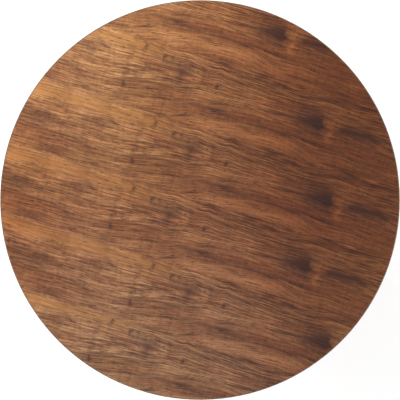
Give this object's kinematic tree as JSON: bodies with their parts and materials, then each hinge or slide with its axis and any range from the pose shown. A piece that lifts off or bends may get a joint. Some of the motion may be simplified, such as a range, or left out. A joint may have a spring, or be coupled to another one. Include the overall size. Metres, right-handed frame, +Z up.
{
  "type": "tilt top table",
  "caption": "Round walnut-veneered pedestal table whose top unlatches with a lever and tilts to the vertical; cross-shaped black steel base with levelling glides.",
  "frame": {"origin": "on the floor, under the centre of the column, with the glides screwed fully in", "axes": "+Z up; -Y is the front, where the hinge is; +Y is the back, where the release lever is; the face veneer's leaves lie at 17 degrees to the X axis"},
  "size_m": [0.9, 0.9, 0.74],
  "materials": {
    "walnut": "satin",
    "walnut_edge": "satin",
    "walnut_back": "matte",
    "core": "matte",
    "black_coat": "matte",
    "zinc": "satin",
    "steel": "satin",
    "brass": "satin",
    "bush": "matte",
    "nylon": "matte",
    "rubber": "matte"
  },
  "bodies": {
    "base": {"head_bracket": "black_coat", "hinge_bushes": "bush", "rest_buffers": "rubber", "buffer_screws": "zinc", "stop_buffers": "rubber", "latch_housing": "zinc", "housing_screws": "zinc", "latch_bush": "bush", "latch_end_plate": "zinc", "end_plate_screws": "steel", "latch_spring": "steel", "lever_pivot_pin": "steel", "pivot_pin_clips": "steel", "column_tube": "black_coat", "tie_rod": "zinc", "tie_rod_nuts": "zinc", "tie_rod_washers": "zinc", "hub_casting": "black_coat", "hub_under_plate": "black_coat", "leg_screws": "zinc", "leg_1": "black_coat", "leg_2": "black_coat", "leg_3": "black_coat", "leg_4": "black_coat", "glide_inserts": "brass"},
    "top": {"core_board": "core", "face_veneer": "walnut", "backing_veneer": "walnut_back", "edge_band": "walnut_edge", "threaded_inserts": "brass", "tilt_plate": "zinc", "plate_screws": "zinc", "hinge_pin": "steel", "hinge_pin_clips": "steel", "keeper": "zinc", "keeper_screws": "zinc"},
    "lever": {"release_lever": "black_coat", "lever_grip": "nylon"},
    "bolt": {"latch_bolt": "steel", "bolt_cross_pin": "steel"},
    "pad_1": {"glide_pad_1": "nylon"},
    "stud_1": {"glide_stud_1": "zinc"},
    "pad_2": {"glide_pad_2": "nylon"},
    "stud_2": {"glide_stud_2": "zinc"},
    "pad_3": {"glide_pad_3": "nylon"},
    "stud_3": {"glide_stud_3": "zinc"},
    "pad_4": {"glide_pad_4": "nylon"},
    "stud_4": {"glide_stud_4": "zinc"}
  },
  "joints": [
    {"name": "top_tilt", "type": "hinge", "parent": "base", "child": "top", "pos_m": [0, -0.07, 0.6938], "axis": [1, 0, 0], "range_deg": [0, 90]},
    {"name": "lever_pull", "type": "hinge", "parent": "base", "child": "lever", "pos_m": [0, 0.07054, 0.6518], "axis": [1, 0, 0], "range_deg": [0, 17.59]},
    {"name": "bolt_slide", "type": "slide", "parent": "base", "child": "bolt", "axis": [0, -1, 0], "range_m": [0, 0.013], "stiffness_N_per_m": 1500, "springref_m": -0.012, "deforming": ["latch_spring"]},
    {"name": "glide_1_lift", "type": "slide", "parent": "base", "child": "pad_1", "axis": [0, 0, -1], "range_m": [0, 0.012]},
    {"name": "glide_1_screw", "type": "hinge", "parent": "pad_1", "child": "stud_1", "pos_m": [0.23334, 0.23334, 0.02], "axis": [0, 0, -1], "range_deg": [0, 2880]},
    {"name": "glide_2_lift", "type": "slide", "parent": "base", "child": "pad_2", "axis": [0, 0, -1], "range_m": [0, 0.012]},
    {"name": "glide_2_screw", "type": "hinge", "parent": "pad_2", "child": "stud_2", "pos_m": [-0.23334, 0.23334, 0.02], "axis": [0, 0, -1], "range_deg": [0, 2880]},
    {"name": "glide_3_lift", "type": "slide", "parent": "base", "child": "pad_3", "axis": [0, 0, -1], "range_m": [0, 0.012]},
    {"name": "glide_3_screw", "type": "hinge", "parent": "pad_3", "child": "stud_3", "pos_m": [-0.23334, -0.23334, 0.02], "axis": [0, 0, -1], "range_deg": [0, 2880]},
    {"name": "glide_4_lift", "type": "slide", "parent": "base", "child": "pad_4", "axis": [0, 0, -1], "range_m": [0, 0.012]},
    {"name": "glide_4_screw", "type": "hinge", "parent": "pad_4", "child": "stud_4", "pos_m": [0.23334, -0.23334, 0.02], "axis": [0, 0, -1], "range_deg": [0, 2880]}
  ],
  "couplings": [
    {"joint": "bolt_slide", "follows": "lever_pull", "m_per_rad": 0.04234},
    {"joint": "glide_1_screw", "follows": "glide_1_lift", "rad_per_m": 4188.8},
    {"joint": "glide_2_screw", "follows": "glide_2_lift", "rad_per_m": 4188.8},
    {"joint": "glide_3_screw", "follows": "glide_3_lift", "rad_per_m": 4188.8},
    {"joint": "glide_4_screw", "follows": "glide_4_lift", "rad_per_m": 4188.8}
  ]
}
